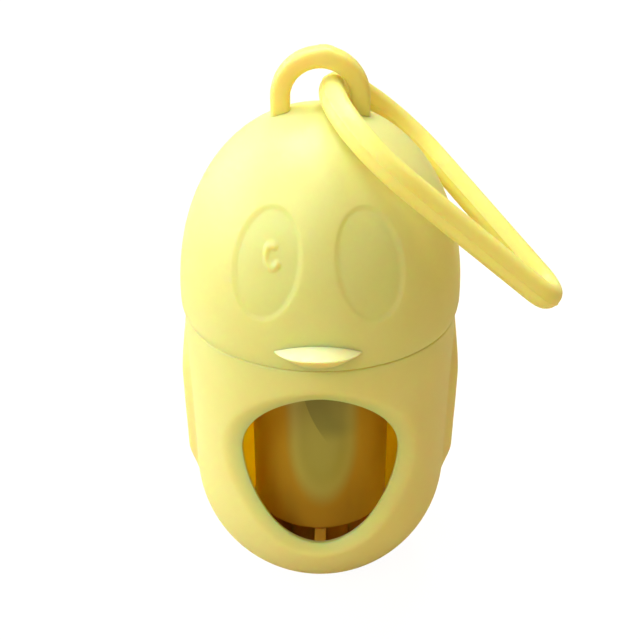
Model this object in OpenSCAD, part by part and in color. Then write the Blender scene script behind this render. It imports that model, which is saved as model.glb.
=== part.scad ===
// Pet waste bag dispenser: a capsule in two shells with a chick's face, a roll of bags inside,
// a hanging loop on top and a closed soft ring through it. Millimetres, +Z up, the face looks along -Y.

/* [Capsule] */
// Radius of the round bottom
body_r = 23.1; // [18:0.1:32]
// How much of the round bottom is cut away as a flat foot
foot_cut = 1.6; // [0.8:0.1:4]
// How much wider the shells are where they meet than the round bottom
seam_flare = 0.4; // [0:0.1:3]
// Height of the line where the shells meet
seam_z = 54.2; // [40:0.1:80]
// How much wider the upper shell's largest radius is than where the shells meet
cap_flare = 0.5; // [0.1:0.1:3]
// Height of the upper shell's largest radius above the seam
cap_rise = 2.7; // [1:0.1:8]
// Height of the dome above its largest radius
dome_h = 31.8; // [20:0.1:50]
// Roundness of the dome, 2 is an ellipse and more is squarer
dome_n = 2.13; // [1.8:0.01:3]
// Wall of both shells
wall = 1.8; // [1.2:0.1:3]

/* [Push fit between the shells] */
// Height of the lower shell's collar that goes up into the upper shell
collar_h = 6.0; // [3:0.1:12]
// Gap on the radius between the collar and the upper shell
collar_gap = 0.09; // [0.05:0.01:0.3]
// Wall of the collar
collar_wall = 1.2; // [0.8:0.1:2]

/* [Dispensing opening] */
// Half of the opening's width
mouth_w = 13.4; // [8:0.1:18]
// Height of the opening's widest line
mouth_z = 35.0; // [28:0.1:50]
// Height of the opening above its widest line
mouth_up = 13.0; // [6:0.1:20]
// Height of the opening below its widest line
mouth_down = 18.1; // [8:0.1:26]
// Roundness of the opening's outline
mouth_n = 1.83; // [1.5:0.01:3]

/* [Flippers] */
// How far each flipper stands out of the round bottom's radius
flipper_relief = 1.45; // [0.5:0.05:3]
// How far the top of each flipper stands out of the shell
flipper_shoulder = 0.4; // [0.1:0.1:1.5]
// Top of the flippers
flipper_top = 52.6; // [46:0.1:60]
// Height above which the flippers get thinner
flipper_bend = 41; // [32:0.5:46]
// Height below which the flippers get thinner
flipper_tuck = 24.5; // [20:0.5:32]
// Tip of the flippers
flipper_tip = 17; // [12:0.1:20]
// Half of a flipper's width
flipper_w = 8.6; // [4:0.1:14]
// Distance of each flipper's top behind the capsule's middle
flipper_y = 3.5; // [-4:0.1:6]
// How far each flipper's tip lies in front of its top
flipper_lean = 5; // [0:0.5:8]

/* [Face] */
// Distance of the face's middle from the capsule's middle, sideways
face_x = -0.3; // [-2:0.1:2]
// Distance of each eye from the face's middle
eye_x = 7.9; // [5:0.1:12]
// Height of the eyes
eye_z = 70.9; // [60:0.1:80]
// Half of an eye's width
eye_w = 4.9; // [3:0.1:8]
// Half of an eye's height
eye_h = 8.4; // [5:0.1:14]
// Depth of the eyes in the dome
eye_depth = 0.45; // [0.2:0.05:1]
// Lean of each eye towards the middle, in degrees
eye_lean = 15; // [0:1:20]
// Half of the width of the small open ring in one eye
mark_r = 1.3; // [0.8:0.1:3]
// Height of the small ring, as a multiple of its width
mark_tall = 1.5; // [1:0.05:2]
// Distance of the mark from the eye's middle, towards the beak
mark_x = 0.8; // [-2:0.1:2]
// Height of the mark above the eye's middle
mark_up = 1.6; // [-4:0.1:4]
// Radius of the beak in plan
beak_r = 8.6; // [5:0.1:12]
// How far the beak stands out of the dome
beak_out = 3.0; // [1:0.1:5]
// Height of the beak's edge
beak_z = 58.2; // [55:0.1:66]
// Fall of the beak's top face from its middle outwards, in degrees
beak_fall = 17.5; // [0:0.5:45]
// Depth of the beak's underside, which draws back at 45 degrees
beak_deep = 3.2; // [1:0.1:5]

/* [Hanging loop] */
// Radius of the eye in the loop
loop_in = 4.75; // [3:0.05:9]
// Thickness of the loop in its own plane
loop_t = 3.2; // [2:0.1:6]
// Depth of the loop from front to back
loop_d = 3.6; // [2:0.1:6]
// Height of the eye's centre above the top of the dome
loop_up = 1.45; // [0:0.05:8]
// Distance of the loop behind the middle of the dome
loop_y = 1.2; // [-3:0.1:4]
// How far each leg's snap head stands out of the leg
barb_out = 0.7; // [0.3:0.1:1.5]

/* [Strap ring] */
// Thickness of the ring across its plane
strap_t = 4.4; // [2.5:0.1:6]
// Width of the ring's section in its plane
strap_w = 3.8; // [2.5:0.1:6]
// Length of the ring from one centre line end to the other
strap_len = 48.8; // [35:0.1:80]
// Radius of the wide end
strap_r1 = 14.9; // [8:0.1:25]
// Radius of the narrow end
strap_r2 = 4.6; // [3:0.1:12]
// How far the ring falls from the loop to the place where it passes the shoulder
strap_drop = 12.6; // [6:0.1:24]
// Distance of that place inside the dome's largest radius
strap_in = 8.0; // [0:0.1:14]
// Turn of the ring about the upright line, in degrees
strap_yaw = -23.4; // [-45:0.1:45]
// Roll of the ring about its own length, in degrees
strap_roll = -15.4; // [-30:0.1:30]
// Distance of the ring from the middle of the eye, sideways
strap_x = 1.78; // [-2:0.01:2.4]
// Height of the ring above the middle of the eye
strap_up = 1.24; // [-1:0.01:2.4]
// Distance along the wide end from its middle to the loop
strap_slip = 3.9; // [0:0.1:12]

/* [Bag roll] */
// Outer radius of the wound bags
roll_r = 12.6; // [9:0.1:17]
// Length of the roll
roll_len = 60; // [40:0.5:70]
// Height of the roll's lower end
roll_z = 12.6; // [8:0.1:20]
// Inner radius of the roll's core tube
core_in = 6.0; // [4:0.1:9]
// Wall of the core tube
core_wall = 1.0; // [0.5:0.1:2]
// Gap on the radius between the core tube and the spindle
spindle_gap = 0.3; // [0.1:0.05:0.8]
// Height of the spindle inside the core tube
spindle_h = 7; // [3:0.5:20]
// Thickness of the crossed ribs under the roll
rib_t = 2.1; // [1:0.1:3]

/* [Hidden] */
$fn = 96;
ball_z = body_r - foot_cut;
foot_r = sqrt(body_r * body_r - ball_z * ball_z);
seam_r = body_r + seam_flare;
cap_r = seam_r + cap_flare;
cap_z = seam_z + cap_rise;
dome_top = cap_z + dome_h;
tip_r = sqrt(body_r * body_r - (ball_z - flipper_tip) * (ball_z - flipper_tip));
collar_bore = seam_r - wall - 0.1;
past = 1;
hair = 0.01;
collar_root = 2;
seat_room = 0.5;
seat_lap = 0.1;
foot_inset = 0.05;
spindle_foot = 1;
mark_hole = 0.55;
mark_cut = 0.6;
leg_room = 0.3;
head_room = 1.2;
head_drop = 1.5;
leg_gap = 0.1;
loop_soft_in = 0.6;
loop_soft_out = 0.8;
head_t = 1.2;
spindle_wall = 1.2;
rib_sink = 0.5;
roll_gap = 0.1;
film_short = 0.2;
film_gap = 0.02;
leg_lap = 0.2;
leg_share = 0.99;
collar_r = collar_bore - collar_gap;
mouth_pts = 48;
dome_pts = 16;
eye_pts = 32;
wire_pts = 24;
flip_pts = 12;
eye_cz = dome_top + loop_up;
leg_in = loop_in;
leg_out = loop_in + loop_t;
leg_mid = (leg_in + leg_out) / 2;
bite_z = dome_z(leg_out + leg_room) - wall;
barb_z = dome_z(leg_out + barb_out + head_room) - wall - head_drop;
slip_turn = strap_slip / strap_r1 * 180 / PI;
strap_slope = atan(strap_drop / (cap_r - strap_in));
span = strap_len - strap_r1 - strap_r2;
lean = asin((strap_r1 - strap_r2) / span);
leg_len = sqrt(span * span - (strap_r1 - strap_r2) * (strap_r1 - strap_r2));
straight = 90 - lean;

// height of the dome's outside at radius r, and its radius at a share of the quarter turn
function dome_z(r) = cap_z + dome_h * pow(1 - pow(r / cap_r, dome_n), 1 / dome_n);
function arc_r(a, r) = r * pow(cos(a), 2 / dome_n);
function arc_z(a, h) = h * pow(sin(a), 2 / dome_n);
// a point of the egg-shaped opening, at angle a from its right side, grown by g
function egg(a, g) = [
    (mouth_w + g) * sign(cos(a)) * pow(abs(cos(a)), 2 / mouth_n),
    mouth_z + (sin(a) > 0 ? mouth_up + g : mouth_down + g) * sign(sin(a)) * pow(abs(sin(a)), 2 / mouth_n)
];
// half of a flipper's width, its middle and the height, at a share s of its length from the tip
function flip(s) = flipper_w * pow(s, 0.5) * pow(1 - pow(s, 5), 0.5);
function flip_y(s) = flipper_y - flipper_lean * (1 - s);
function flip_z(s) = flipper_tip + (flipper_top - flipper_tip) * s;

// the lower shell's outside
module body_outside() {
    intersection() {
        union() {
            translate([0, 0, ball_z]) sphere(r = body_r);
            translate([0, 0, ball_z]) cylinder(r1 = body_r, r2 = seam_r, h = seam_z - ball_z);
        }
        cylinder(r = body_r + seam_r, h = seam_z);
    }
}

// the upper shell's outside, shrunk by t, down to height z0
module cap_outside(t, z0) {
    rotate_extrude() polygon(concat(
        [[0, z0], [seam_r - t, z0], [seam_r - t, seam_z],
            [(seam_r + 3 * cap_r) / 4 - t, seam_z + cap_rise / 2]],
        [for (i = [0 : dome_pts - 1])
            [arc_r(i * 90 / dome_pts, cap_r - t), cap_z + arc_z(i * 90 / dome_pts, dome_h - t)]],
        [[0, dome_top - t]]));
}

// a prism of the opening, from front to just inside the front wall
module mouth_prism(g) {
    translate([0, -body_r / 3, 0]) rotate([90, 0, 0])
        linear_extrude(height = body_r)
            polygon([for (i = [0 : mouth_pts - 1]) egg(i * 360 / mouth_pts, g)]);
}

// a flipper's outline, from well inside the shell outwards
module flipper_side() {
    rotate([90, 0, 90]) translate([0, 0, body_r / 2]) linear_extrude(height = body_r)
        polygon(concat(
            [for (i = [0 : flip_pts])
                [flip_y(i / flip_pts) + flip(i / flip_pts), flip_z(i / flip_pts)]],
            [for (i = [flip_pts - 1 : -1 : 1])
                [flip_y(i / flip_pts) - flip(i / flip_pts), flip_z(i / flip_pts)]]));
}

// the flippers' outside, all the way round
module flipper_skin() {
    rotate_extrude() polygon([
        [0, flipper_tip - past], [tip_r, flipper_tip - past],
        [body_r + flipper_relief, flipper_tuck], [body_r + flipper_relief, flipper_bend],
        [seam_r + flipper_shoulder, flipper_top],
        [seam_r + flipper_shoulder, flipper_top + past], [0, flipper_top + past]]);
}

module body_shell() {
    color([0.93, 0.89, 0.55])
    difference() {
        union() {
            difference() {
                union() {
                    body_outside();
                    intersection() {
                        flipper_skin();
                        union() { flipper_side(); mirror([1, 0, 0]) flipper_side(); }
                    }
                }
                // hollow
                translate([0, 0, ball_z]) sphere(r = body_r - wall);
                translate([0, 0, ball_z])
                    cylinder(r1 = body_r - wall, r2 = collar_r - collar_wall, h = seam_z - ball_z + hair);
            }
            // collar that the upper shell pushes onto
            translate([0, 0, seam_z - collar_root]) difference() {
                cylinder(r = collar_r, h = collar_h + collar_root);
                translate([0, 0, -past])
                    cylinder(r = collar_r - collar_wall, h = collar_h + collar_root + 2 * past);
            }
            // even floor over the flat foot
            cylinder(r = foot_r - foot_inset, h = wall);
            // crossed ribs and spindle that carry the roll
            intersection() {
                union() {
                    for (turn = [0, 90]) rotate([0, 0, turn])
                        translate([-rib_t / 2, -body_r, rib_sink])
                            cube([rib_t, 2 * body_r, roll_z - roll_gap - rib_sink]);
                }
                translate([0, 0, ball_z]) sphere(r = body_r - wall / 2);
            }
            translate([0, 0, spindle_foot])
                cylinder(r = core_in - spindle_gap, h = roll_z + spindle_h - spindle_foot);
        }
        mouth_prism(0);
        // the spindle is hollow from below its top, to keep an even wall
        translate([0, 0, wall]) cylinder(r = core_in - spindle_gap - spindle_wall, h = roll_z + spindle_h);
    }
}

module eye_prism(side) {
    translate([face_x + side * eye_x, -cap_r / 3, eye_z]) rotate([90, 0, 0]) rotate([0, 0, side * eye_lean])
        linear_extrude(height = cap_r)
            polygon([for (i = [1 : eye_pts])
                [eye_w * cos(i * 360 / eye_pts), eye_h * sin(i * 360 / eye_pts)]]);
}

module mark_prism() {
    translate([face_x - eye_x + mark_x, -cap_r / 3, eye_z + mark_up]) rotate([90, 0, 0])
        linear_extrude(height = cap_r) scale([1, mark_tall]) difference() {
            circle(r = mark_r, $fn = 32);
            circle(r = mark_r * mark_hole, $fn = 32);
            translate([0, -mark_r * mark_cut / 2]) square([mark_r * 2, mark_r * mark_cut]);
        }
}

module beak() {
    translate([face_x, beak_r - cap_r - beak_out, beak_z]) {
        cylinder(r1 = beak_r, r2 = 0, h = beak_r * tan(beak_fall));
        translate([0, 0, -beak_deep]) cylinder(r1 = beak_r - beak_deep, r2 = beak_r, h = beak_deep);
    }
}

module cap_shell() {
    color([0.95, 0.92, 0.6])
    union() {
        difference() {
            union() {
                cap_outside(0, seam_z);
                beak();
            }
            // hollow above the collar's seat
            intersection() {
                cap_outside(wall, seam_z);
                translate([0, 0, seam_z + collar_h + seat_room])
                    cylinder(r = cap_r + past, h = cap_rise + dome_h);
            }
            translate([0, 0, seam_z - past])
                cylinder(r = collar_bore, h = past + collar_h + seat_room + seat_lap);
            // shallow eyes
            intersection() {
                union() { eye_prism(1); eye_prism(-1); }
                difference() {
                    cap_outside(-past, seam_z);
                    cap_outside(eye_depth, seam_z - past);
                }
            }
            // holes for the loop's legs
            for (s = [-1, 1])
                translate([s * leg_mid, loop_y, bite_z - 3 * wall + dome_h / 2])
                    cube([loop_t + 2 * leg_gap, loop_d + 2 * leg_gap, dome_h], center = true);
        }
        // small open ring in one eye
        intersection() {
            mark_prism();
            difference() {
                cap_outside(0, seam_z);
                cap_outside(wall / 2, seam_z - past);
            }
        }
    }
}

// section of the loop, with its corners taken off, from r = loop_in outwards
module loop_section() {
    a = loop_in;
    b = loop_in + loop_t;
    d = loop_d / 2;
    polygon([
        [a + loop_soft_in, -d], [b - loop_soft_out, -d], [b, -d + loop_soft_out], [b, d - loop_soft_out],
        [b - loop_soft_out, d], [a + loop_soft_in, d], [a, d - loop_soft_in], [a, -d + loop_soft_in]]);
}

module leg(s) {
    // leg through the dome, with a snap head under it
    translate([0, loop_y, barb_z - head_t]) rotate([0, 0, s > 0 ? 0 : 180])
        linear_extrude(height = eye_cz - barb_z + head_t) loop_section();
    translate([s * leg_mid - loop_t / 2 + (s > 0 ? 0 : -barb_out), loop_y - loop_d / 2, barb_z - head_t])
        cube([loop_t + barb_out, loop_d, head_t]);
}

module hanging_loop() {
    color([0.93, 0.84, 0.42])
    union() {
        translate([0, loop_y, eye_cz]) rotate([90, 0, 0])
            rotate_extrude(angle = 180) loop_section();
        leg(1);
        leg(-1);
    }
}

// section of the ring: an oval with many flats
module wire() {
    polygon([for (i = [0.5 : wire_pts])
        [strap_w / 2 * cos(i * 360 / wire_pts), strap_t / 2 * sin(i * 360 / wire_pts)]]);
}

module strap_ring() {
    color([0.95, 0.87, 0.45])
    translate([strap_x, loop_y, eye_cz + strap_up])
    rotate([0, 0, strap_yaw]) rotate([0, strap_slope, 0]) rotate([strap_roll, 0, 0])
    translate([strap_r1 * (cos(slip_turn) - 1), strap_r1 * sin(slip_turn), 0])
    union() {
        // wide end, through the loop's eye
        translate([strap_r1, 0, 0]) rotate([0, 0, straight])
            rotate_extrude(angle = 360 - 2 * straight)
                translate([strap_r1, 0]) wire();
        // narrow end
        translate([strap_r1 + span, 0, 0]) rotate([0, 0, -straight])
            rotate_extrude(angle = 2 * straight)
                translate([strap_r2, 0]) wire();
        // two straight legs, a hair slimmer than the ends that they close inside
        for (s = [-1, 1])
            translate([strap_r1 + strap_r1 * cos(straight), s * strap_r1 * sin(straight), 0])
                rotate([0, 0, -s * lean]) rotate([0, 90, 0]) rotate([0, 0, 90])
                    translate([0, 0, -leg_lap]) linear_extrude(height = leg_len + 2 * leg_lap)
                        scale([leg_share, leg_share]) wire();
    }
}

module roll_core() {
    color([0.8, 0.76, 0.66])
    translate([0, 0, roll_z]) difference() {
        cylinder(r = core_in + core_wall, h = roll_len);
        translate([0, 0, -past]) cylinder(r = core_in, h = roll_len + 2 * past);
    }
}

module bag_film() {
    color([0.9, 0.86, 0.62])
    translate([0, 0, roll_z + film_short]) difference() {
        cylinder(r = roll_r, h = roll_len - 2 * film_short);
        translate([0, 0, -past]) cylinder(r = core_in + core_wall + film_gap, h = roll_len + 2 * past);
    }
}

body_shell();
cap_shell();
hanging_loop();
strap_ring();
roll_core();
bag_film();
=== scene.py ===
"""A pet waste bag dispenser: two moulded capsule shells with a chick's face, a roll of bags behind
an egg-shaped opening, a hanging loop and a soft strap ring. Metres, +Z up, the face looks
along -Y."""

import math

import bmesh
import bpy
from mathutils import Matrix, Vector, noise


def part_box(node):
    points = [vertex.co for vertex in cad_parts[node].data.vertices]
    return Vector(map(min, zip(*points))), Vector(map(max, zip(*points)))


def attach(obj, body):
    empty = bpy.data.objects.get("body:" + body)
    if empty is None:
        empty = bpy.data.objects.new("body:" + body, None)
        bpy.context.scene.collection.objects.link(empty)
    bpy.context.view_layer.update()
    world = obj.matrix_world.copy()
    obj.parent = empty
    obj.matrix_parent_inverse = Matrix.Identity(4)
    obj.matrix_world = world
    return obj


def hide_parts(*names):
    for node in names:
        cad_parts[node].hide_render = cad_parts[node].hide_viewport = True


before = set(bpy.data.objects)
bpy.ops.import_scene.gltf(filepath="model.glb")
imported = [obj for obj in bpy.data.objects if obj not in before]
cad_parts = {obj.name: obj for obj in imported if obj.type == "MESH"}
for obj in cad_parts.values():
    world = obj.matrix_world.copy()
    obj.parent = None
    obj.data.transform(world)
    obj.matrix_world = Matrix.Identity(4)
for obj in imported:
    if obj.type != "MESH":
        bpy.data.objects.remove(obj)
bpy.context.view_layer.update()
MM = 0.001

# ---- sizes, in millimetres and radians ----------------------------------------------------------
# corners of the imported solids' boxes, which the visible pieces follow
shell_low, shell_high = (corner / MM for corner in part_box("body_shell"))
cap_low, cap_high = (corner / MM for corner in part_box("cap_shell"))
loop_low, loop_high = (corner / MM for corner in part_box("hanging_loop"))
film_low, film_high = (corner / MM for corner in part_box("bag_film"))
core_low, core_high = (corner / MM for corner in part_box("roll_core"))

SEAM_Z = cap_low.z
SEAM_R = 23.5
BALL_R = 23.1
FOOT_CUT = 1.6
BALL_Z = BALL_R - FOOT_CUT
CAP_R = cap_high.x
CAP_RISE = 2.7
CAP_Z = SEAM_Z + CAP_RISE
DOME_H = cap_high.z - CAP_Z
DOME_N = 2.13
WALL = 1.8
RINGS = 256  # faces round a shell
ROW = 0.45  # height of one row of faces
RIM_ROUND = 0.3
CAP_RIM_ROUND = 0.15
SEAM_GAP = 0.1
QUARTER_STEP = math.pi / 8  # one step of a softened edge
MERGE = 1e-4  # vertices closer than this become one

MOUTH_W = 14.26
MOUTH_Z = 34.98
MOUTH_UP = 13.0
MOUTH_DOWN = 18.06
MOUTH_N = 1.83
MOUTH_FROM_Z = 10  # the opening and its lip lie above this height
MOUTH_SNAP = 0.2  # faces may stand out of the opening by this much before the rim snaps to it
LIP_W = 2.7
LIP_DEPTH = 1.5
LIP_SLOPE = 0.5  # share of the lip's curve that slopes at the edge; the rest is level there

FLIPPER_RELIEF = 1.45
FLIPPER_SHOULDER = 0.35
FLIPPER_BEND = 40.0
FLIPPER_TUCK = 24.8
FLIPPER_TOP = 52.6
FLIPPER_TIP = 17.0
FLIPPER_W = 8.8
FLIPPER_Y = 3.5
FLIPPER_LEAN = 5.0
FLIPPER_EDGE = 2.4
FLIPPER_FROM_X = 12  # the flippers lie further out than this

FACE_X = -0.3
EYE_X = 7.86
EYE_Z = 70.9
EYE_W = 4.87
EYE_H = 8.39
EYE_LEAN = math.radians(15)
EYE_DEPTH = 0.29
EYE_EDGE = 1.1
FACE_FROM_Y = -8
FACE_MARGIN = 2
MARK_X = FACE_X - EYE_X + 0.8
MARK_Z = EYE_Z + 1.6
MARK_R = 1.0
MARK_TALL = 1.55
MARK_LINE = 0.42
MARK_RISE = 0.3
MARK_SOFT_IN, MARK_SOFT_OUT = -0.35, 0.1
MARK_OPEN_AT = 15  # degrees from +X to the middle of the ring's gap
MARK_OPEN, MARK_CLOSED = 25, 50  # degrees from there to the gap's edge and to the full ring

BEAK_R = 8.6
BEAK_HALF = 7.75
BEAK_N = 2.3
BEAK_DROOP = 0.01
BEAK_OUT = 3.0
BEAK_Z = 58.2
BEAK_FALL = math.radians(17.5)
BEAK_DEEP = 3.2
BEAK_SOFT = 0.3
BEAK_RIM_R = BEAK_R - 0.08
BEAK_UNDER_Z = -0.2  # faces below this are the beak's underside
BEAK_CUT_Y = -(CAP_R - WALL - 2.2)

LOOP_T = 3.2
LOOP_D = loop_high.y - loop_low.y
LOOP_Y = (loop_high.y + loop_low.y) / 2
LOOP_IN = 4.75
LOOP_OUT = LOOP_IN + LOOP_T
LOOP_Z = loop_high.z - LOOP_OUT
LOOP_SQUARE = 3.4  # 2 is a round section and more is squarer
CREST_X = 0.9  # a low crest on the arch's top
CREST_DEEP = 1.2
CREST_RISE = 0.18
CREST_FLAT, CREST_END = 0.5, 1.8

STRAP_T = 4.4
STRAP_W = 3.8
STRAP_LEN = 48.8
STRAP_R1 = 14.9
STRAP_R2 = 4.6
STRAP_FALL = 12.6
STRAP_SLOPE = math.atan(STRAP_FALL / (CAP_R - 8.0))
STRAP_YAW = math.radians(-23.4)
STRAP_ROLL = math.radians(-15.4)
STRAP_SLIP = 3.9 / STRAP_R1  # how far the ring has turned through the loop
STRAP_X = 1.78
STRAP_Z = LOOP_Z + 1.24
PARTING_RISE = 0.12
PARTING_TURN = 4  # degrees round the section from the parting line to its foot

COLLAR_H = shell_high.z - SEAM_Z
COLLAR_R = 21.5
COLLAR_WALL = 1.2
COLLAR_ROOT = 2.0
COLLAR_SOFT = 0.35

RIB_T = 2.1
RIB_FOOT_Z = 1.2
RIB_START = 4.7
RIB_LONG = 11.0
RIB_SHORT = 8.0
RIB_FOOT_END = 10.5  # the long rib's foot ends here, inside the round floor
RIB_SOFT = 0.2
SPINDLE_R = 5.7
SPINDLE_WALL = 1.2
SPINDLE_RISE = 7.0
SPINDLE_SOFT, SPINDLE_ROUND = 0.3, 0.5

ROLL_R = film_high.x
ROLL_ROW = 0.8
ROLL_SOFT = 0.5
RIPPLE = 0.07
CORE_BORE_R = 6.0
CORE_SOFT = 0.15
LIT_PATCH_X = 0.4  # the painted light patch on the film's front: its middle and half width
LIT_PATCH_W = 5.9
LIT_PATCH_BEND = 32.0  # where its end starts to round in, and how far that goes down
LIT_PATCH_DROP = 12.6
SHADE_WEDGE_TOP = 41.2  # where the crisp edge of the painted shade wedge starts, and its run down from there
SHADE_WEDGE_X = -2.8
SHADE_WEDGE_SLOPE = 0.26
SHADE_WEDGE_CURVE = 0.022

# finishes; pairs are where a soft step starts and ends
FLOW_MM = 14  # size of the slow colour change in moulded plastic
GLOW_REACH = (1.0, 0.45, 0.1)  # how far red, green and blue light passes under the skin
FIBRE_MM = 0.6
CREASE_MM = 2.5
CREASE_SHARE = 0.15
PAINTED_DULL_W, PAINTED_GLOW_W = 4.0, 11.5  # the film's front is painted duller up to the first, and a brighter amber from the second, a painted glow from the yellow walls
# the painted light patch's rim and fade, then the painted shade wedge over it
LIT_PATCH_EDGE = (0.25, 0.75)
LIT_PATCH_FADE = (0.6, 1.4)
SHADE_WEDGE_EDGE = 0.2
SHADE_WEDGE_FADE = (2.5, 8.5)
SHADE_WEDGE_END = (SHADE_WEDGE_TOP - 9.5, SHADE_WEDGE_TOP - 5.0)
SHADE_WEDGE_STRENGTH = 0.8

# camera, in millimetres and radians; its focal length and middle are in pixels of a 640-pixel image
IMAGE_SIZE = 640
CAMERA_AWAY = 165.0
CAMERA_HEIGHT = 146.7 - FOOT_CUT
CAMERA_PITCH = 0.5512
CAMERA_FOCAL = 1077.2
CAMERA_MIDDLE_X = 320.3
CAMERA_MIDDLE_Y = 351.0
SENSOR_MM = 36.0

WHITE = (1.0, 1.0, 1.0, 1.0)
AMBIENT = 0.25
AMBIENT_COLOUR = (1.0, 0.66, 0.34, 1.0)
FLOOR_PAINT = (0.62, 0.51, 0.34, 1.0)
FLOOR_WHITE = 1.2
FLOOR_SHARE = 0.8  # how much of the floor's white the camera sees over its paint and shadow
AIM = Vector((0, 0, 0.05))
LAMPS = (  # name, place, size and power, then colour
    ("high_key", (-0.13, 0.10, 0.66), 0.25, 2.25, (0.86, 1.0, 1.0)),
    ("left_key", (-0.62, -0.05, 0.35), 0.45, 2.5, (0.82, 0.94, 1.0)),
    ("front_key", (-0.25, -0.40, 0.52), 0.35, 1.9, (0.88, 1.0, 0.9)),
    ("back_key", (0.12, 0.30, 0.60), 0.14, 2.0, (0.92, 1.0, 0.85)),
    ("warm_fill", (0.36, -0.34, 0.50), 0.35, 0.26, (1.0, 0.76, 0.25)),
    ("rear_fill", (-0.50, 0.30, 0.28), 0.35, 1.2, (0.95, 0.92, 0.8)),
)


# ---- finishes -----------------------------------------------------------------------------------
def linear(hex_colour):
    """An sRGB hex value as linear red, green, blue and alpha."""
    shares = [int(hex_colour[i : i + 2], 16) / 255 for i in (1, 3, 5)]
    return [c / 12.92 if c <= 0.04045 else ((c + 0.055) / 1.055) ** 2.4 for c in shares] + [1.0]


def add_node(tree, kind, links=None, **settings):
    """Adds a node; settings that name an input fill it, and others set the node's own property."""
    node = tree.nodes.new(kind)
    for name, value in settings.items():
        if name in node.bl_rna.properties:
            setattr(node, name, value)
        else:
            node.inputs[name.replace("_", " ")].default_value = value
    for name, source in (links or {}).items():
        tree.links.new(source, node.inputs[name])
    return node


def start_material(name):
    """A new material with an empty tree, and the part's own coordinates in it."""
    material = bpy.data.materials.new(name)
    material.use_nodes = True
    tree = material.node_tree
    tree.nodes.clear()
    place = add_node(tree, "ShaderNodeTexCoord")
    return material, tree, place.outputs["Object"]


def finish_material(tree, shader):
    """Sends a shader to the surface."""
    add_node(tree, "ShaderNodeOutputMaterial", {"Surface": shader.outputs[0]})


def moulded_plastic(name, light, deep, roughness, glow_mm, grain_mm=0.35, grain=0.05):
    """Injection-moulded polypropylene: a satin skin with a fine spark-eroded grain, slightly
    uneven in colour where the melt flowed, and a little light passing under the surface."""
    material, tree, place = start_material(name)
    flow = add_node(
        tree, "ShaderNodeTexNoise", {"Vector": place}, Scale=1 / (FLOW_MM * MM), Detail=3.0
    )
    tint = add_node(tree, "ShaderNodeValToRGB", {"Fac": flow.outputs["Fac"]})
    tint.color_ramp.elements[0].position = 0.3
    tint.color_ramp.elements[0].color = linear(deep)
    tint.color_ramp.elements[1].position = 0.7
    tint.color_ramp.elements[1].color = linear(light)
    skin = add_node(
        tree, "ShaderNodeTexNoise", {"Vector": place}, Scale=1 / (grain_mm * MM), Detail=4.0
    )
    wear = add_node(
        tree,
        "ShaderNodeMapRange",
        {"Value": flow.outputs["Fac"]},
        To_Min=roughness - 0.05,
        To_Max=roughness + 0.05,
    )
    bump = add_node(
        tree, "ShaderNodeBump", {"Height": skin.outputs["Fac"]}, Strength=grain, Distance=0.05 * MM
    )
    shader = add_node(
        tree,
        "ShaderNodeBsdfPrincipled",
        {
            "Base Color": tint.outputs["Color"],
            "Roughness": wear.outputs["Result"],
            "Normal": bump.outputs["Normal"],
        },
        Subsurface_Weight=1.0,
        Subsurface_Scale=glow_mm * MM,
        IOR=1.49,
    )
    shader.inputs["Subsurface Radius"].default_value = GLOW_REACH
    finish_material(tree, shader)
    return material


def sums(tree, operation, first, second=None, third=None, clamp=False):
    """One step of arithmetic on node outputs or plain numbers."""
    node = add_node(tree, "ShaderNodeMath", operation=operation, use_clamp=clamp)
    for socket, value in zip(node.inputs, (first, second, third)):
        if isinstance(value, (int, float)):
            socket.default_value = value
        elif value is not None:
            tree.links.new(value, socket)
    return node.outputs[0]


def mix_colours(tree, blend, share, first, second):
    """Two colours, each a plain one or a node's output, mixed or multiplied by a share."""
    node = add_node(tree, "ShaderNodeMix", data_type="RGBA", blend_type=blend)
    tree.links.new(share, node.inputs["Factor"])
    for socket, value in ((node.inputs[6], first), (node.inputs[7], second)):
        if isinstance(value, list):
            socket.default_value = value
        else:
            tree.links.new(value, socket)
    return node.outputs[2]


def mix_shaders(tree, share, first, second):
    """Two shaders mixed by a share from a node's output."""
    mix = tree.nodes.new("ShaderNodeMixShader")
    for socket, source in zip(mix.inputs, (share, first.outputs[0], second.outputs[0])):
        tree.links.new(source, socket)
    return mix


def soft_step(tree, value, low, high):
    """0 below low and 1 above high, in millimetres of the part, with a soft step between."""
    node = add_node(
        tree,
        "ShaderNodeMapRange",
        {"Value": value},
        interpolation_type="SMOOTHSTEP",
        From_Min=low,
        From_Max=high,
    )
    return node.outputs["Result"]


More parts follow.
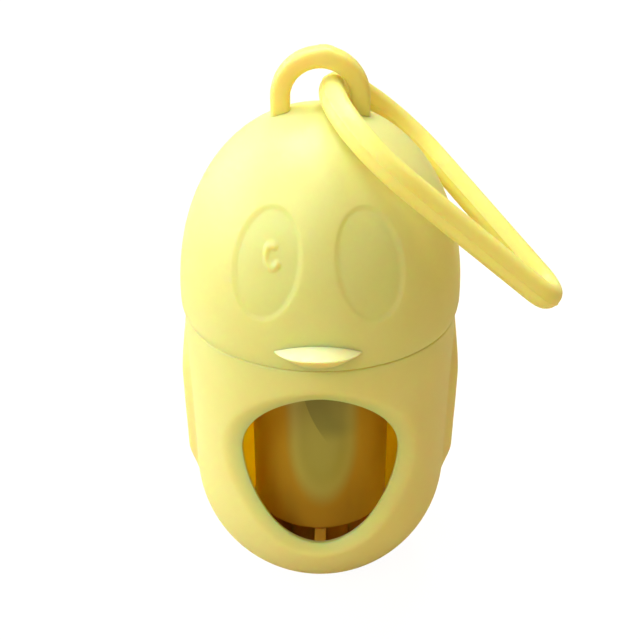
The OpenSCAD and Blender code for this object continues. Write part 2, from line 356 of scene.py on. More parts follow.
def wound_film(name):
    """Thin amber polyethylene bags wound on a tube: a satin film with faint lengthways creases. The
    front is painted duller in the middle and a brighter amber at the sides, a painted glow for the
    light the yellow walls pass onto the roll. On the front a painted olive light patch with a
    rounded lower end stands for the light coming in through the opening, brighter towards its rim,
    and a painted shade wedge with a crisp curved edge darkens part of it."""
    material, tree, place = start_material(name)
    stretch = add_node(tree, "ShaderNodeMapping", {"Vector": place})
    stretch.inputs["Scale"].default_value = (1.0, 1.0, 0.12)
    crease = add_node(
        tree,
        "ShaderNodeTexNoise",
        {"Vector": stretch.outputs["Vector"]},
        Scale=1 / (CREASE_MM * MM),
        Detail=5.0,
    )
    bump = add_node(
        tree, "ShaderNodeBump", {"Height": crease.outputs["Fac"]}, Strength=0.15, Distance=0.2 * MM
    )
    axes = add_node(tree, "ShaderNodeSeparateXYZ", {"Vector": place})
    x, y, z = (sums(tree, "DIVIDE", axes.outputs[axis], MM) for axis in "XYZ")
    # painted light: duller in the front middle, a brighter amber glow towards the sides and round
    # the back; the creases' noise adds a little
    front = sums(tree, "LESS_THAN", y, 0.0)
    side = soft_step(tree, sums(tree, "ABSOLUTE", x), PAINTED_DULL_W, PAINTED_GLOW_W)
    dull = sums(tree, "MULTIPLY", sums(tree, "SUBTRACT", 1.0, side), front)
    dull = sums(tree, "MULTIPLY_ADD", crease.outputs["Fac"], CREASE_SHARE, dull, clamp=True)
    amber = mix_colours(tree, "MIX", dull, linear("#ffcd38"), linear("#d0a030"))

    # painted light: an olive patch with a rounded lower end where light comes in through the
    # opening, brighter towards its rim
    across = sums(tree, "DIVIDE", sums(tree, "SUBTRACT", x, LIT_PATCH_X), LIT_PATCH_W)
    down = sums(tree, "DIVIDE", sums(tree, "SUBTRACT", LIT_PATCH_BEND, z), LIT_PATCH_DROP)
    down = sums(tree, "MAXIMUM", down, 0.0)
    reach = sums(tree, "MULTIPLY_ADD", across, across, sums(tree, "MULTIPLY", down, down))
    edge = soft_step(tree, reach, *LIT_PATCH_EDGE)
    lit_patch = sums(tree, "SUBTRACT", 1.0, soft_step(tree, reach, *LIT_PATCH_FADE))
    lit_patch = sums(tree, "MULTIPLY", lit_patch, front)
    olive = mix_colours(tree, "MIX", edge, linear("#aea444"), linear("#c4b85a"))

    # painted shade: a darker wedge with a crisp curved left edge, laid over the painted light patch
    drop = sums(tree, "SUBTRACT", SHADE_WEDGE_TOP, z)
    curve = sums(tree, "MULTIPLY_ADD", drop, SHADE_WEDGE_CURVE, SHADE_WEDGE_SLOPE)
    past = sums(tree, "SUBTRACT", x, sums(tree, "MULTIPLY_ADD", curve, drop, SHADE_WEDGE_X))
    shade_wedge = soft_step(tree, past, 0.0, SHADE_WEDGE_EDGE)
    shade_wedge = sums(tree, "SUBTRACT", shade_wedge, soft_step(tree, past, *SHADE_WEDGE_FADE))
    shade_wedge = sums(tree, "MULTIPLY", shade_wedge, soft_step(tree, z, *SHADE_WEDGE_END))
    shade_wedge = sums(tree, "MULTIPLY", shade_wedge, SHADE_WEDGE_STRENGTH)
    olive = mix_colours(tree, "MULTIPLY", shade_wedge, olive, linear("#c3c9ae"))
    tint = mix_colours(tree, "MIX", lit_patch, amber, olive)
    shader = add_node(
        tree,
        "ShaderNodeBsdfPrincipled",
        {"Base Color": tint, "Normal": bump.outputs["Normal"]},
        Roughness=0.36,
        IOR=1.5,
    )
    finish_material(tree, shader)
    return material


def wound_board(name):
    """Grey-brown board tube: dull paper with fine fibres."""
    material, tree, place = start_material(name)
    fibre = add_node(
        tree, "ShaderNodeTexNoise", {"Vector": place}, Scale=1 / (FIBRE_MM * MM), Detail=6.0
    )
    tint = add_node(tree, "ShaderNodeValToRGB", {"Fac": fibre.outputs["Fac"]})
    tint.color_ramp.elements[0].color = linear("#a08a66")
    tint.color_ramp.elements[1].color = linear("#c4b08a")
    bump = add_node(
        tree, "ShaderNodeBump", {"Height": fibre.outputs["Fac"]}, Strength=0.3, Distance=0.05 * MM
    )
    shader = add_node(
        tree,
        "ShaderNodeBsdfPrincipled",
        {"Base Color": tint.outputs["Color"], "Normal": bump.outputs["Normal"]},
        Roughness=0.85,
    )
    finish_material(tree, shader)
    return material


SHELL_PP = moulded_plastic("Shell_Pastel_PP", "#f4e598", "#f0e08e", 0.45, 4.0)
# the shells' inside and the rims between the skins: the same plastic painted a deeper, brighter
# yellow with a longer glow, a painted glow for the light passing through the wall
INSIDE_GLOW_PP = moulded_plastic("Shell_Inside_Painted_Glow_PP", "#ffe060", "#ffdc5a", 0.45, 14.0)
# the beak's top: the shell plastic painted paler, a painted highlight for the strong light from
# above
BEAK_LIT_PP = moulded_plastic("Beak_Painted_Highlight_PP", "#fcf6c0", "#f9f1b6", 0.42, 1.2)
# the ribs and spindle, moulded with the shell: painted a darker, redder amber for the shade and
# yellow bounce light deep in the cavity
SUPPORT_SHADED_PP = moulded_plastic("Support_Painted_Shade_PP", "#dca03c", "#d49834", 0.5, 3.0)
LOOP_PP = moulded_plastic("Loop_Deep_Yellow_PP", "#f3e88c", "#efe384", 0.42, 2.5)
STRAP_TPR = moulded_plastic("Strap_Yellow_TPR", "#faf192", "#f6ec8a", 0.45, 2.5, grain_mm=0.5)
BAG_FILM = wound_film("Bag_Film_PE")
CORE_BOARD = wound_board("Core_Board")


# ---- modelling helpers --------------------------------------------------------------------------
def make_piece(name, bm, body, materials, nodes=(), crease=40):
    """Turns a bmesh in millimetres into a smooth-shaded piece in metres that rides on a body."""
    bmesh.ops.remove_doubles(bm, verts=bm.verts, dist=MERGE)
    bmesh.ops.recalc_face_normals(bm, faces=bm.faces)
    bmesh.ops.scale(bm, vec=(MM, MM, MM), verts=bm.verts)
    for face in bm.faces:
        face.smooth = True
    for edge in bm.edges:
        if len(edge.link_faces) == 2:
            edge.smooth = edge.calc_face_angle(0) < math.radians(crease)
    mesh = bpy.data.meshes.new(name)
    bm.to_mesh(mesh)
    bm.free()
    piece = bpy.data.objects.new(name, mesh)
    bpy.context.scene.collection.objects.link(piece)
    for material in materials:
        mesh.materials.append(material)
    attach(piece, body)
    if nodes:
        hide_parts(*nodes)


def only(kind, geometry):
    """The vertices, edges or faces in what a bmesh operator gave back."""
    return [g for g in geometry if isinstance(g, kind)]


def close_ring(bm, ring):
    """Joins a ring of vertices by edges."""
    return [bm.edges.new((a, b)) for a, b in zip(ring, ring[1:] + ring[:1])]


def spin_outline(bm, outline, steps=RINGS):
    """Turns a line of (radius, height) points all the way round the Z axis."""
    verts = [bm.verts.new((0, -r, z)) for r, z in outline]
    edges = [bm.edges.new(pair) for pair in zip(verts, verts[1:])]
    bmesh.ops.spin(
        bm,
        geom=verts + edges,
        cent=(0, 0, 0),
        axis=(0, 0, 1),
        angle=math.tau,
        steps=steps,
        use_merge=True,
        use_duplicate=False,
    )
    bmesh.ops.remove_doubles(bm, verts=bm.verts, dist=MERGE)


def spaced(start, end, step):
    """Evenly spaced values from start up to, but not including, end."""
    count = max(1, round(abs(end - start) / step))
    return [start + (end - start) * i / count for i in range(count)]


def smooth_share(value, low, high):
    """0 up to low and 1 from high, with a soft start and end."""
    t = min(max((value - low) / (high - low), 0.0), 1.0)
    return t * t * (3 - 2 * t)


def push_out(vert, amount):
    """Moves a vertex straight out from the Z axis."""
    r = math.hypot(vert.co.x, vert.co.y)
    vert.co.x *= 1 + amount / r
    vert.co.y *= 1 + amount / r


def open_rims(bm):
    """The mesh's open edges, one list for each closed rim."""
    left = {edge for edge in bm.edges if edge.is_boundary}
    rims = []
    while left:
        rim = [left.pop()]
        for edge in rim:
            near = {e for v in edge.verts for e in v.link_edges} & left
            rim += near
            left -= near
        rims.append(rim)
    return rims


def add_inner_skin(bm, place_inside):
    """Copies every face to the shell's inside and joins the two skins at each open rim."""
    rims = open_rims(bm)
    outer = bm.verts[:]
    copy = bmesh.ops.duplicate(bm, geom=outer + bm.edges[:] + bm.faces[:])
    for vert in outer:
        copy["vert_map"][vert].co = place_inside(vert.co)
    inside = only(bmesh.types.BMFace, copy["geom"])
    bmesh.ops.reverse_faces(bm, faces=inside)
    for rim in rims:
        other = [copy["edge_map"][edge] for edge in rim]
        inside += bmesh.ops.bridge_loops(bm, edges=rim + other)["faces"]
    # the inside takes the second finish, painted brighter for the light that passes through the
    # wall
    for face in inside:
        face.material_index = 1
    return outer


# ---- lower shell --------------------------------------------------------------------------------
def egg_gap(x, z):
    """Distance from the opening's outline in the front view, negative inside it."""
    dz = z - MOUTH_Z
    height = MOUTH_UP if dz > 0 else MOUTH_DOWN
    reach = (abs(x / MOUTH_W) ** MOUTH_N + abs(dz / height) ** MOUTH_N) ** (1 / MOUTH_N)
    return math.hypot(x, dz) * (1 - 1 / max(reach, 1e-6))


def side_r(z):
    """Radius of the lower shell's side, which widens a little up to the seam."""
    return BALL_R + (SEAM_R - BALL_R) * (z - BALL_Z) / (SEAM_Z - BALL_Z)


def lower_outline():
    """Foot, round bottom and straight side up to the softened rim, as (radius, height)."""
    foot_r = math.sqrt(BALL_R**2 - BALL_Z**2)
    low_angle = math.atan2(-BALL_Z, foot_r)
    points = [(r, 0.0) for r in spaced(0.0, foot_r, 1.2)]
    for angle in spaced(low_angle, 0.0, ROW / BALL_R):
        points.append((BALL_R * math.cos(angle), BALL_Z + BALL_R * math.sin(angle)))
    for z in spaced(BALL_Z, SEAM_Z - RIM_ROUND, ROW):
        points.append((side_r(z), z))
    for angle in spaced(0.0, math.pi / 2, QUARTER_STEP):
        r = SEAM_R - RIM_ROUND * (1 - math.cos(angle))
        points.append((r, SEAM_Z - RIM_ROUND * (1 - math.sin(angle))))
    points.append((SEAM_R - RIM_ROUND, SEAM_Z))
    return points


def lower_inside(co):
    """Where a point of the lower shell's outside goes to make its inside."""
    r = math.hypot(co.x, co.y)
    if co.z >= BALL_Z:
        share = (r - WALL) / r
        return Vector((co.x * share, co.y * share, co.z))
    centre = Vector((0, 0, BALL_Z))
    inside = centre + (co - centre) * (1 - WALL / BALL_R)
    inside.z = max(inside.z, WALL)
    return inside


def flipper_rise(y, z):
    """How far a flipper stands out; it is a long drop with a soft edge, thinner towards its top."""
    share = (z - FLIPPER_TIP) / (FLIPPER_TOP - FLIPPER_TIP)
    if not 0 < share < 1:
        return 0.0
    half = FLIPPER_W * share**0.5 * (1 - share**5) ** 0.5
    middle = FLIPPER_Y - FLIPPER_LEAN * (1 - share)
    inside = 1 - smooth_share(abs(y - middle) - half, -FLIPPER_EDGE, 0.0)
    tuck = smooth_share(z, FLIPPER_TIP, FLIPPER_TUCK)
    thin = smooth_share(z, FLIPPER_BEND, FLIPPER_TOP)
    return inside * tuck * (FLIPPER_RELIEF + (FLIPPER_SHOULDER - FLIPPER_RELIEF) * thin)


def build_lower_shell():
    """Round-bottomed shell with the egg-shaped opening, its sunk lip and the two flippers."""
    bm = bmesh.new()
    spin_outline(bm, lower_outline())
    front = [v for v in bm.verts if v.co.y < 0]
    gap = {v: egg_gap(v.co.x, v.co.z) for v in front if v.co.z > MOUTH_FROM_Z}
    cut = [f for f in bm.faces if all(gap.get(v, 1) < MOUTH_SNAP for v in f.verts)]
    bmesh.ops.delete(bm, geom=cut, context="FACES")
    snap_to_egg(bm)
    outer = add_inner_skin(bm, lower_inside)
    for vert in outer:
        if vert.co.y < 0 and vert.co.z > MOUTH_FROM_Z:
            near = 1 - smooth_lip(egg_gap(vert.co.x, vert.co.z))
            if near > 0:
                push_out(vert, -LIP_DEPTH * near)
        if abs(vert.co.x) > FLIPPER_FROM_X and vert.co.z > FLIPPER_TIP:
            push_out(vert, flipper_rise(vert.co.y, vert.co.z))
    skins = [SHELL_PP, INSIDE_GLOW_PP]
    make_piece("lower_shell", bm, "lower_shell", skins, ["body_shell"])


def smooth_lip(gap):
    """0 at the opening's edge and 1 past the lip, where it is level with the shell."""
    t = min(max(gap / LIP_W, 0.0), 1.0)
    return LIP_SLOPE * (1 - (1 - t) ** 2) + (1 - LIP_SLOPE) * smooth_share(t, 0.0, 1.0)


def snap_to_egg(bm):
    """Moves the cut's ragged rim onto the egg's outline, and evens out the faces next to it."""
    rim = {v for e in bm.edges if e.is_boundary for v in e.verts if v.co.z < SEAM_Z - 1}
    for vert in rim:
        for _ in range(4):
            gap = egg_gap(vert.co.x, vert.co.z)
            reach = math.hypot(vert.co.x, vert.co.z - MOUTH_Z)
            share = 1 - gap / reach
            vert.co.x *= share
            vert.co.z = MOUTH_Z + (vert.co.z - MOUTH_Z) * share
            seat_on_lower(vert)
    near = {n for v in rim for e in v.link_edges for n in e.verts} - rim
    near |= {n for v in near for e in v.link_edges for n in e.verts} - rim
    for _ in range(6):
        bmesh.ops.smooth_vert(
            bm, verts=list(near), factor=0.5, use_axis_x=True, use_axis_y=True, use_axis_z=True
        )
        for vert in near:
            seat_on_lower(vert)


def seat_on_lower(vert):
    """Puts a vertex of the front back on the lower shell's outside, at its own width and height."""
    if vert.co.z >= BALL_Z:
        r = side_r(vert.co.z)
    else:
        r = math.sqrt(max(BALL_R**2 - (vert.co.z - BALL_Z) ** 2, 0.0))
    vert.co.y = -math.sqrt(max(r * r - vert.co.x**2, 0.0))


def build_collar():
    """The lower shell's collar, which the upper shell pushes onto."""
    bm = bmesh.new()
    inside = COLLAR_R - COLLAR_WALL
    top = SEAM_Z + COLLAR_H
    root = SEAM_Z - COLLAR_ROOT
    outline = [
        (inside, root),
        (inside, top - COLLAR_SOFT),
        (inside + COLLAR_SOFT, top),
        (COLLAR_R - COLLAR_SOFT, top),
        (COLLAR_R, top - COLLAR_SOFT),
        (COLLAR_R, SEAM_Z - 0.9),
        (COLLAR_R, root),
        (inside, root),
    ]
    spin_outline(bm, outline, steps=160)
    make_piece("collar", bm, "lower_shell", [SHELL_PP], crease=50)


def build_roll_support():
    """Crossed ribs on the floor and the hollow spindle that the roll turns on."""
    bm = bmesh.new()
    rib_top = film_low.z - 0.3
    for turn in (0.0, math.pi / 2):
        for side in (-1, 1):
            rib = bmesh.ops.create_cube(bm, size=1.0)["verts"]
            reach = RIB_LONG if turn == 0 else RIB_SHORT
            middle = (0, side * (RIB_START + reach / 2), (rib_top + RIB_FOOT_Z) / 2)
            bmesh.ops.scale(bm, vec=(RIB_T, reach, rib_top - RIB_FOOT_Z), verts=rib)
            bmesh.ops.translate(bm, vec=middle, verts=rib)
            for vert in rib:
                if vert.co.z < rib_top / 2 and abs(vert.co.y) > RIB_FOOT_END:
                    vert.co.y = side * RIB_FOOT_END
            bmesh.ops.rotate(bm, cent=(0, 0, 0), matrix=Matrix.Rotation(turn, 3, "Z"), verts=rib)
    bmesh.ops.bevel(
        bm,
        geom=bm.edges[:],
        offset=RIB_SOFT,
        segments=2,
        profile=0.5,
        affect="EDGES",
        material=-1,
    )
    bore = SPINDLE_R - SPINDLE_WALL
    root = WALL - 0.3
    top = core_low.z + SPINDLE_RISE
    outline = [
        (bore, root),
        (bore, top - SPINDLE_SOFT),
        (bore + SPINDLE_SOFT, top),
        (SPINDLE_R - SPINDLE_ROUND, top),
        (SPINDLE_R, top - SPINDLE_ROUND),
        (SPINDLE_R, root),
        (bore, root),
    ]
    tube = bmesh.new()
    spin_outline(tube, outline, steps=64)
    join_meshes(bm, tube)
    make_piece("roll_support", bm, "lower_shell", [SUPPORT_SHADED_PP])


def join_meshes(bm, other):
    """Adds another bmesh to this one."""
    kept = bpy.data.meshes.new("joined")
    other.to_mesh(kept)
    other.free()
    bm.from_mesh(kept)
    bpy.data.meshes.remove(kept)


# ---- upper shell --------------------------------------------------------------------------------
def dome_point(angle):
    """A point of the dome's outline, from 0 at its widest line to a quarter turn at its top."""
    r = CAP_R * math.cos(angle) ** (2 / DOME_N)
    z = CAP_Z + DOME_H * math.sin(angle) ** (2 / DOME_N)
    return r, z


def upper_outline():
    """Softened lower rim, short flare and dome, as (radius, height)."""
    points = []
    edge = CAP_RIM_ROUND
    low = SEAM_Z + SEAM_GAP
    for angle in spaced(-math.pi / 2, 0.0, QUARTER_STEP):
        r = SEAM_R - edge * (1 - math.cos(angle))
        points.append((r, low + edge * (1 + math.sin(angle))))
    for z in spaced(low + edge, CAP_Z, ROW):
        share = (CAP_Z - z) / CAP_RISE
        points.append((CAP_R - (CAP_R - SEAM_R) * share**2, z))
    last = (CAP_R, CAP_Z)
    points.append(last)
    fine = 2000
    for i in range(1, fine):
        point = dome_point(math.pi / 2 * i / fine)
        if math.dist(point, last) >= ROW and point[0] > ROW:
            points.append(point)
            last = point
    points.append((0.0, CAP_Z + DOME_H))
    return points


def upper_inside(co):
    """Where a point of the dome's outside goes to make its inside."""
    r = math.hypot(co.x, co.y)
    if co.z <= CAP_Z:
        share = (r - WALL) / max(r, 1e-6)
        return Vector((co.x * share, co.y * share, co.z))
    side = (CAP_R - WALL) / CAP_R
    return Vector((co.x * side, co.y * side, CAP_Z + (co.z - CAP_Z) * (DOME_H - WALL) / DOME_H))


def eye_gap(x, z, side):
    """Distance from an eye's outline in the front view, negative inside it."""
    dx, dz = x - FACE_X - side * EYE_X, z - EYE_Z
    lean = side * EYE_LEAN
    across = dx * math.cos(lean) + dz * math.sin(lean)
    along = dz * math.cos(lean) - dx * math.sin(lean)
    reach = math.hypot(across / EYE_W, along / EYE_H)
    return math.hypot(across, along) * (1 - 1 / max(reach, 1e-6))


def mark_share(x, z):
    """1 on the small open ring in the left eye, 0 off it."""
    dx, dz = x - MARK_X, (z - MARK_Z) / MARK_TALL
    ring_gap = abs(math.hypot(dx, dz) - MARK_R) - MARK_LINE
    share = 1 - smooth_share(ring_gap, MARK_SOFT_IN, MARK_SOFT_OUT)
    bearing = math.degrees(math.atan2(dz, dx))
    return share * smooth_share(abs(bearing - MARK_OPEN_AT), MARK_OPEN, MARK_CLOSED)


def build_upper_shell():
    """Domed shell with two shallow eyes and a small open ring in the left one."""
    bm = bmesh.new()
    spin_outline(bm, upper_outline())
    face_edges = [e for e in bm.edges if all(on_face(v.co) for v in e.verts)]
    bmesh.ops.subdivide_edges(bm, edges=face_edges, cuts=1, use_grid_fill=True)
    for vert in add_inner_skin(bm, upper_inside):
        if not on_face(vert.co):
            continue
        depth = 0.0
        for side in (-1, 1):
            gap = eye_gap(vert.co.x, vert.co.z, side)
            depth += EYE_DEPTH * (1 - smooth_share(gap, -EYE_EDGE / 2, EYE_EDGE / 2))
        push_out(vert, MARK_RISE * mark_share(vert.co.x, vert.co.z) - depth)
    skins = [SHELL_PP, INSIDE_GLOW_PP]
    make_piece("upper_shell", bm, "upper_shell", skins, ["cap_shell"])


def on_face(co):
    """Whether a point lies on the front of the dome, round the eyes."""
    wide = EYE_X + EYE_W + FACE_MARGIN
    tall = EYE_H + FACE_MARGIN
    return co.y < FACE_FROM_Y and abs(co.x) < wide and abs(co.z - EYE_Z) < tall


def build_beak():
    """Shelf-like beak: a low cone on top, a softened rim and an underside that draws back."""
    bm = bmesh.new()
    rise = BEAK_R * math.tan(BEAK_FALL)
    count = 12
    outline = [(0.0, rise)]
    outline += [(BEAK_R * i / count, rise * (1 - i / count)) for i in range(1, count)]
    outline += [
        (BEAK_R - BEAK_SOFT, BEAK_SOFT * math.tan(BEAK_FALL)),
        (BEAK_RIM_R, -0.02),
        (BEAK_RIM_R, -0.22),
        (BEAK_R - BEAK_SOFT, -BEAK_SOFT - 0.1),
        (BEAK_R - BEAK_DEEP, -BEAK_DEEP),
        (0.0, -BEAK_DEEP),
    ]
    spin_outline(bm, outline, steps=192)
    # only the top takes the paler painted highlight; the underside keeps the shell's own colour
    for face in bm.faces:
        if max(vert.co.z for vert in face.verts) < BEAK_UNDER_Z:
            face.material_index = 1
    for vert in bm.verts:
        reach = math.hypot(vert.co.x, vert.co.y)
        if reach > 0:
            across, along = abs(vert.co.x) / reach, abs(vert.co.y) / reach
            full = (across**BEAK_N + along**BEAK_N) ** (-1 / BEAK_N)
            vert.co.x *= full * BEAK_HALF / BEAK_R
            vert.co.y *= full
            vert.co.z -= BEAK_DROOP * vert.co.x**2
    bmesh.ops.translate(bm, vec=(FACE_X, BEAK_R - CAP_R - BEAK_OUT, BEAK_Z), verts=bm.verts)
    cut = bmesh.ops.bisect_plane(
        bm,
        geom=bm.verts[:] + bm.edges[:] + bm.faces[:],
        plane_co=(0, BEAK_CUT_Y, 0),
        plane_no=(0, 1, 0),
        clear_outer=True,
    )
    bmesh.ops.contextual_create(bm, geom=only(bmesh.types.BMEdge, cut["geom_cut"]))
    make_piece("beak", bm, "upper_shell", [BEAK_LIT_PP, SHELL_PP])


# ---- hanging loop -------------------------------------------------------------------------------
def squared(share):
    """A sine or cosine drawn towards the corners, which turns a circle into a rounded square."""
    return math.copysign(abs(share) ** (2 / LOOP_SQUARE), share)


def build_hanging_loop():
    """Arch of rounded square section whose legs go straight down through the dome."""
    bm = bmesh.new()
    middle = LOOP_IN + LOOP_T / 2
    count = 32
    ring = []
    for i in range(count):
        angle = math.tau * i / count
        across = squared(math.cos(angle)) * LOOP_T / 2
        deep = squared(math.sin(angle)) * LOOP_D / 2
        ring.append(bm.verts.new((middle + across, LOOP_Y + deep, LOOP_Z)))
    edges = close_ring(bm, ring)
    arch = bmesh.ops.spin(
        bm,
        geom=ring + edges,
        cent=(0, LOOP_Y, LOOP_Z),
        axis=(0, -1, 0),
        angle=math.pi,
        steps=56,
    )
    far = only(bmesh.types.BMEdge, arch["geom_last"])
    leg = LOOP_Z - loop_low.z
    for end in (edges, far):
        moved = bmesh.ops.extrude_edge_only(bm, edges=end)["geom"]
        bmesh.ops.translate(bm, vec=(0, 0, -leg), verts=only(bmesh.types.BMVert, moved))
        bmesh.ops.contextual_create(bm, geom=only(bmesh.types.BMEdge, moved))
    for vert in bm.verts:
        if vert.co.z > LOOP_Z + LOOP_OUT - CREST_DEEP:
            off = smooth_share(abs(vert.co.x - CREST_X), CREST_FLAT, CREST_END)
            vert.co.z += CREST_RISE * (1 - off)
    make_piece(
        "hanging_loop", bm, "upper_shell", [LOOP_PP], ["hanging_loop"], crease=60
    )


# ---- strap ring ---------------------------------------------------------------------------------
def build_strap_ring():
    """Closed moulded ring, wide at the loop and narrow at its free end, with a parting line."""
    bm = bmesh.new()
    span = STRAP_LEN - STRAP_R1 - STRAP_R2
    lean = math.asin((STRAP_R1 - STRAP_R2) / span)
    straight = math.pi / 2 - lean
    leg_len = math.sqrt(span**2 - (STRAP_R1 - STRAP_R2) ** 2)
    far = STRAP_R1 + span
    start = Vector((STRAP_R1 + STRAP_R1 * math.cos(straight), STRAP_R1 * math.sin(straight), 0))
    out = Vector((math.cos(straight), math.sin(straight), 0))
    count = 32
    turns = [360 * i / count for i in range(count)]
    turns += [line + side * PARTING_TURN for line, side in ((0, 1), (180, -1), (180, 1), (360, -1))]
    ring = []
    for turn in sorted(turns):
        angle = math.radians(turn)
        across = (STRAP_W / 2 + (PARTING_RISE if turn in (0, 180) else 0)) * math.cos(angle)
        up = Vector((0, 0, STRAP_T / 2 * math.sin(angle)))
        ring.append(bm.verts.new(start + out * across + up))
    wide = spin_part(bm, close_ring(bm, ring), (STRAP_R1, 0, 0), math.tau - 2 * straight, 72)
    front = slide_part(bm, wide, Vector((math.cos(lean), math.sin(lean), 0)) * leg_len, 24)
    narrow = spin_part(bm, front, (far, 0, 0), 2 * straight, 40)
    slide_part(bm, narrow, Vector((-math.cos(lean), math.sin(lean), 0)) * leg_len, 24)
    slip = Vector((STRAP_R1 * (math.cos(STRAP_SLIP) - 1), STRAP_R1 * math.sin(STRAP_SLIP), 0))
    place = (
        Matrix.Translation((STRAP_X, LOOP_Y, STRAP_Z))
        @ Matrix.Rotation(STRAP_YAW, 4, "Z")
        @ Matrix.Rotation(STRAP_SLOPE, 4, "Y")
        @ Matrix.Rotation(STRAP_ROLL, 4, "X")
        @ Matrix.Translation(slip)
    )
    bmesh.ops.transform(bm, matrix=place, verts=bm.verts)
    make_piece(
        "strap_ring", bm, "strap", [STRAP_TPR], ["strap_ring"], crease=70
    )


def spin_part(bm, edges, centre, angle, steps):
    """Spins a section about an upright line and returns the last section's edges."""
    verts = list({v for e in edges for v in e.verts})
    turned = bmesh.ops.spin(
        bm,
        geom=verts + list(edges),
        cent=centre,
        axis=(0, 0, 1),
        angle=angle,
        steps=steps,
    )
    return only(bmesh.types.BMEdge, turned["geom_last"])


def slide_part(bm, edges, vector, steps):
    """Draws a section along a straight line and returns the last section's edges."""
    for _ in range(steps):
        moved = bmesh.ops.extrude_edge_only(bm, edges=edges)["geom"]
        bmesh.ops.translate(bm, vec=vector / steps, verts=only(bmesh.types.BMVert, moved))
        edges = only(bmesh.types.BMEdge, moved)
    return edges


# ---- bag roll -----------------------------------------------------------------------------------
def build_bag_film():
    """The wound bags: a roll with soft ends and a slightly uneven skin."""
    bm = bmesh.new()
    inside = core_high.x + 0.02
    edge_r, low, high = ROLL_R - ROLL_SOFT, film_low.z + ROLL_SOFT, film_high.z - ROLL_SOFT
    outline = [(inside, film_low.z)]
    outline += [(r, film_low.z) for r in spaced(inside + 0.6, edge_r, ROLL_ROW)]
    for angle in spaced(-math.pi / 2, 0.0, QUARTER_STEP):
        outline.append((edge_r + ROLL_SOFT * math.cos(angle), low + ROLL_SOFT * math.sin(angle)))
    outline += [(ROLL_R, z) for z in spaced(low, high, ROLL_ROW)]
    for angle in spaced(0.0, math.pi / 2, QUARTER_STEP):
        outline.append((edge_r + ROLL_SOFT * math.cos(angle), high + ROLL_SOFT * math.sin(angle)))
    outline += [(r, film_high.z) for r in spaced(edge_r, inside, ROLL_ROW)]
    outline += [(inside, film_high.z), (inside, film_low.z)]
    spin_outline(bm, outline, steps=192)
    for vert in bm.verts:
        if math.hypot(vert.co.x, vert.co.y) > ROLL_R - 0.1:
            spot = Vector((vert.co.x * 0.25, vert.co.y * 0.25, vert.co.z * 0.06))
            push_out(vert, RIPPLE * noise.noise(spot) - RIPPLE)
    make_piece("bag_film", bm, "roll", [BAG_FILM], ["bag_film"], crease=60)


def build_roll_core():
    """The board tube inside the roll."""
    bm = bmesh.new()
    inside, outside = CORE_BORE_R, core_high.x
    outline = [
        (inside, core_low.z + CORE_SOFT),
        (inside + CORE_SOFT, core_low.z),
        (outside - CORE_SOFT, core_low.z),
        (outside, core_low.z + CORE_SOFT),
        (outside, core_high.z - CORE_SOFT),
        (outside - CORE_SOFT, core_high.z),
        (inside + CORE_SOFT, core_high.z),
        (inside, core_high.z - CORE_SOFT),
        (inside, core_low.z + CORE_SOFT),
    ]
    spin_outline(bm, outline, steps=96)
    make_piece("roll_core", bm, "roll", [CORE_BOARD], ["roll_core"])


build_lower_shell()
build_collar()
build_roll_support()
build_upper_shell()
build_beak()
build_hanging_loop()
build_strap_ring()
build_bag_film()
build_roll_core()


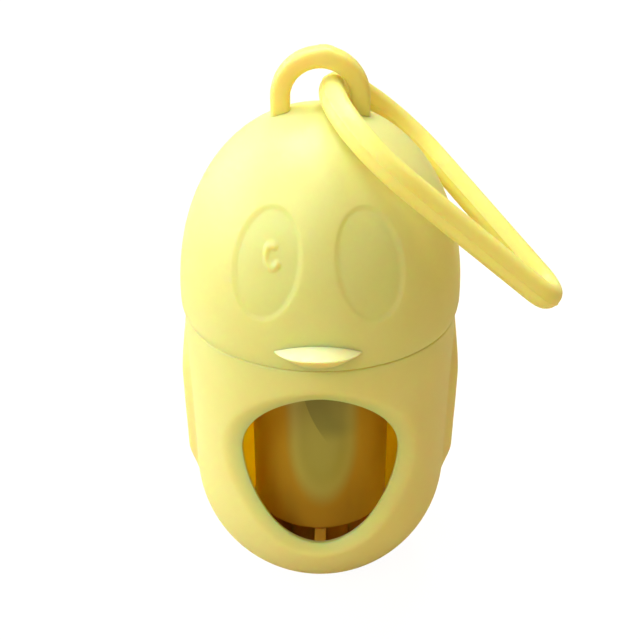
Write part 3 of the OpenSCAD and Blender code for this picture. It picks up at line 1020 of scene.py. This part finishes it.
# ---- stage, lamps and camera --------------------------------------------------------------------
def build_floor():
    """A wide pale floor that keeps the capsule's shadow and looks white to the camera."""
    bm = bmesh.new()
    bmesh.ops.create_grid(bm, x_segments=1, y_segments=1, size=3.0)
    mesh = bpy.data.meshes.new("floor")
    bm.to_mesh(mesh)
    bm.free()
    floor = bpy.data.objects.new("floor", mesh)
    bpy.context.scene.collection.objects.link(floor)
    material = bpy.data.materials.new("Pale_Floor")
    material.use_nodes = True
    tree = material.node_tree
    tree.nodes.clear()
    seen = add_node(tree, "ShaderNodeLightPath")
    paint = add_node(tree, "ShaderNodeBsdfDiffuse", Color=FLOOR_PAINT)
    white = add_node(tree, "ShaderNodeEmission", Color=WHITE, Strength=FLOOR_WHITE)
    share = sums(tree, "MULTIPLY", seen.outputs["Is Camera Ray"], FLOOR_SHARE)
    finish_material(tree, mix_shaders(tree, share, paint, white))
    mesh.materials.append(material)


def build_world():
    """Even surroundings: soft warm light on the object, and pure white to the camera."""
    world = bpy.data.worlds.new("studio")
    bpy.context.scene.world = world
    world.use_nodes = True
    tree = world.node_tree
    tree.nodes.clear()
    seen = add_node(tree, "ShaderNodeLightPath")
    soft = add_node(tree, "ShaderNodeBackground", Color=AMBIENT_COLOUR, Strength=AMBIENT)
    white = add_node(tree, "ShaderNodeBackground", Color=WHITE, Strength=1.0)
    mix = mix_shaders(tree, seen.outputs["Is Camera Ray"], soft, white)
    add_node(tree, "ShaderNodeOutputWorld", {"Surface": mix.outputs[0]})


def add_lamp(name, place, size, power, colour):
    """A square soft lamp that faces the middle of the capsule."""
    light = bpy.data.lights.new(name, "AREA")
    light.size = size
    light.energy = power
    light.color = colour
    lamp = bpy.data.objects.new(name, light)
    bpy.context.scene.collection.objects.link(lamp)
    lamp.location = place
    lamp.rotation_mode = "QUATERNION"
    lamp.rotation_quaternion = (AIM - Vector(place)).to_track_quat("-Z", "Y")


def build_camera():
    """Close to the object and above it, looking down at the face."""
    data = bpy.data.cameras.new("camera")
    data.sensor_width = SENSOR_MM
    data.lens = CAMERA_FOCAL / IMAGE_SIZE * data.sensor_width
    data.shift_x = (IMAGE_SIZE / 2 - CAMERA_MIDDLE_X) / IMAGE_SIZE
    data.shift_y = (CAMERA_MIDDLE_Y - IMAGE_SIZE / 2) / IMAGE_SIZE
    data.clip_start = 0.01
    camera = bpy.data.objects.new("camera", data)
    bpy.context.scene.collection.objects.link(camera)
    camera.location = (0, -CAMERA_AWAY * MM, CAMERA_HEIGHT * MM)
    camera.rotation_euler = (math.pi / 2 - CAMERA_PITCH, 0, 0)
    bpy.context.scene.camera = camera


build_floor()
build_world()
for lamp_values in LAMPS:
    add_lamp(*lamp_values)
build_camera()

bpy.context.scene.view_settings.view_transform = "Standard"
